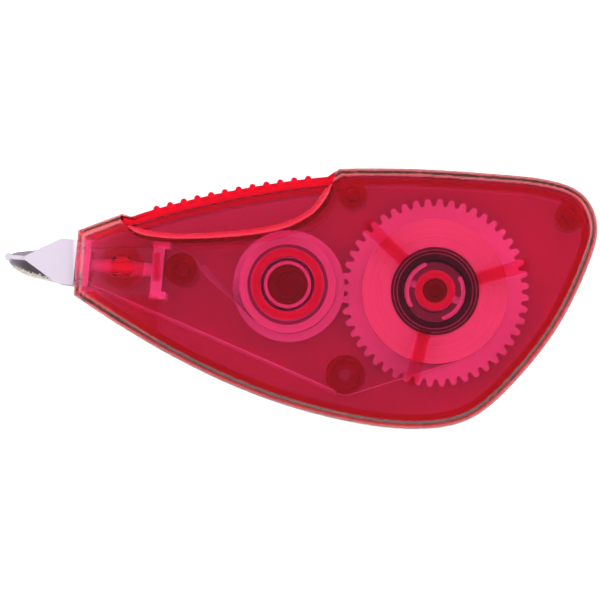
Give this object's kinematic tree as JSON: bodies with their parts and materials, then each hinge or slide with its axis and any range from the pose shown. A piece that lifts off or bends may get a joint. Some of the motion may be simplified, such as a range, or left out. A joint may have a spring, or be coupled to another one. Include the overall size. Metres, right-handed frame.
{
  "type": "correction tape roller",
  "caption": "Correction tape roller: a translucent two-shell housing, geared supply and take-up spools, a swivelling applicator head and the tape that runs between them.",
  "frame": {"origin": "under the middle of the bounding box, on the face the roller lies on", "axes": "+Z along both spool axes, out of the front shell; -X towards the applicator tip; +Y towards the finger grip"},
  "size_m": [0.0919, 0.0402, 0.013],
  "materials": {
    "housing": "clear tinted polystyrene, polished",
    "white_moulding": "satin acetal",
    "head_moulding": "smooth white moulding",
    "smoke_core": "smoke tinted plastic",
    "black_rubber": "plain rubber",
    "correction_tape": "white correction layer on a release film",
    "used_film": "thin release film"
  },
  "bodies": {
    "housing": {"rear_shell": "housing", "front_shell": "housing", "friction_hub": "white_moulding", "tape_feed_run": "correction_tape", "tape_return_run": "used_film"},
    "supply_spool": {"supply_gear": "white_moulding", "supply_core": "smoke_core", "friction_ring": "black_rubber", "correction_tape_coil": "correction_tape"},
    "takeup_wheel": {"takeup_gear": "white_moulding"},
    "takeup_reel": {"takeup_drum": "white_moulding", "used_film_coil": "used_film"},
    "head": {"applicator_head": "head_moulding", "tape_tip_loop": "correction_tape"}
  },
  "joints": [
    {"name": "supply_spin", "type": "hinge", "parent": "housing", "child": "supply_spool", "pos_m": [0.02085, 0.0012, 0.006], "axis": [0, 0, 1], "continuous": true},
    {"name": "takeup_spin", "type": "hinge", "parent": "housing", "child": "takeup_wheel", "pos_m": [-0.0019, 0.00225, 0.006], "axis": [0, 0, 1], "continuous": true},
    {"name": "drum_slip", "type": "hinge", "parent": "takeup_wheel", "child": "takeup_reel", "pos_m": [-0.0019, 0.00225, 0.006], "axis": [0, 0, 1], "continuous": true},
    {"name": "head_swivel", "type": "hinge", "parent": "housing", "child": "head", "pos_m": [-0.0274, 0.00505, 0.0065], "axis": [0.9957, -0.0924, 0], "range_deg": [-7, 7]}
  ],
  "couplings": [
    {"joint": "takeup_spin", "follows": "supply_spin", "ratio": -1.7143}
  ]
}
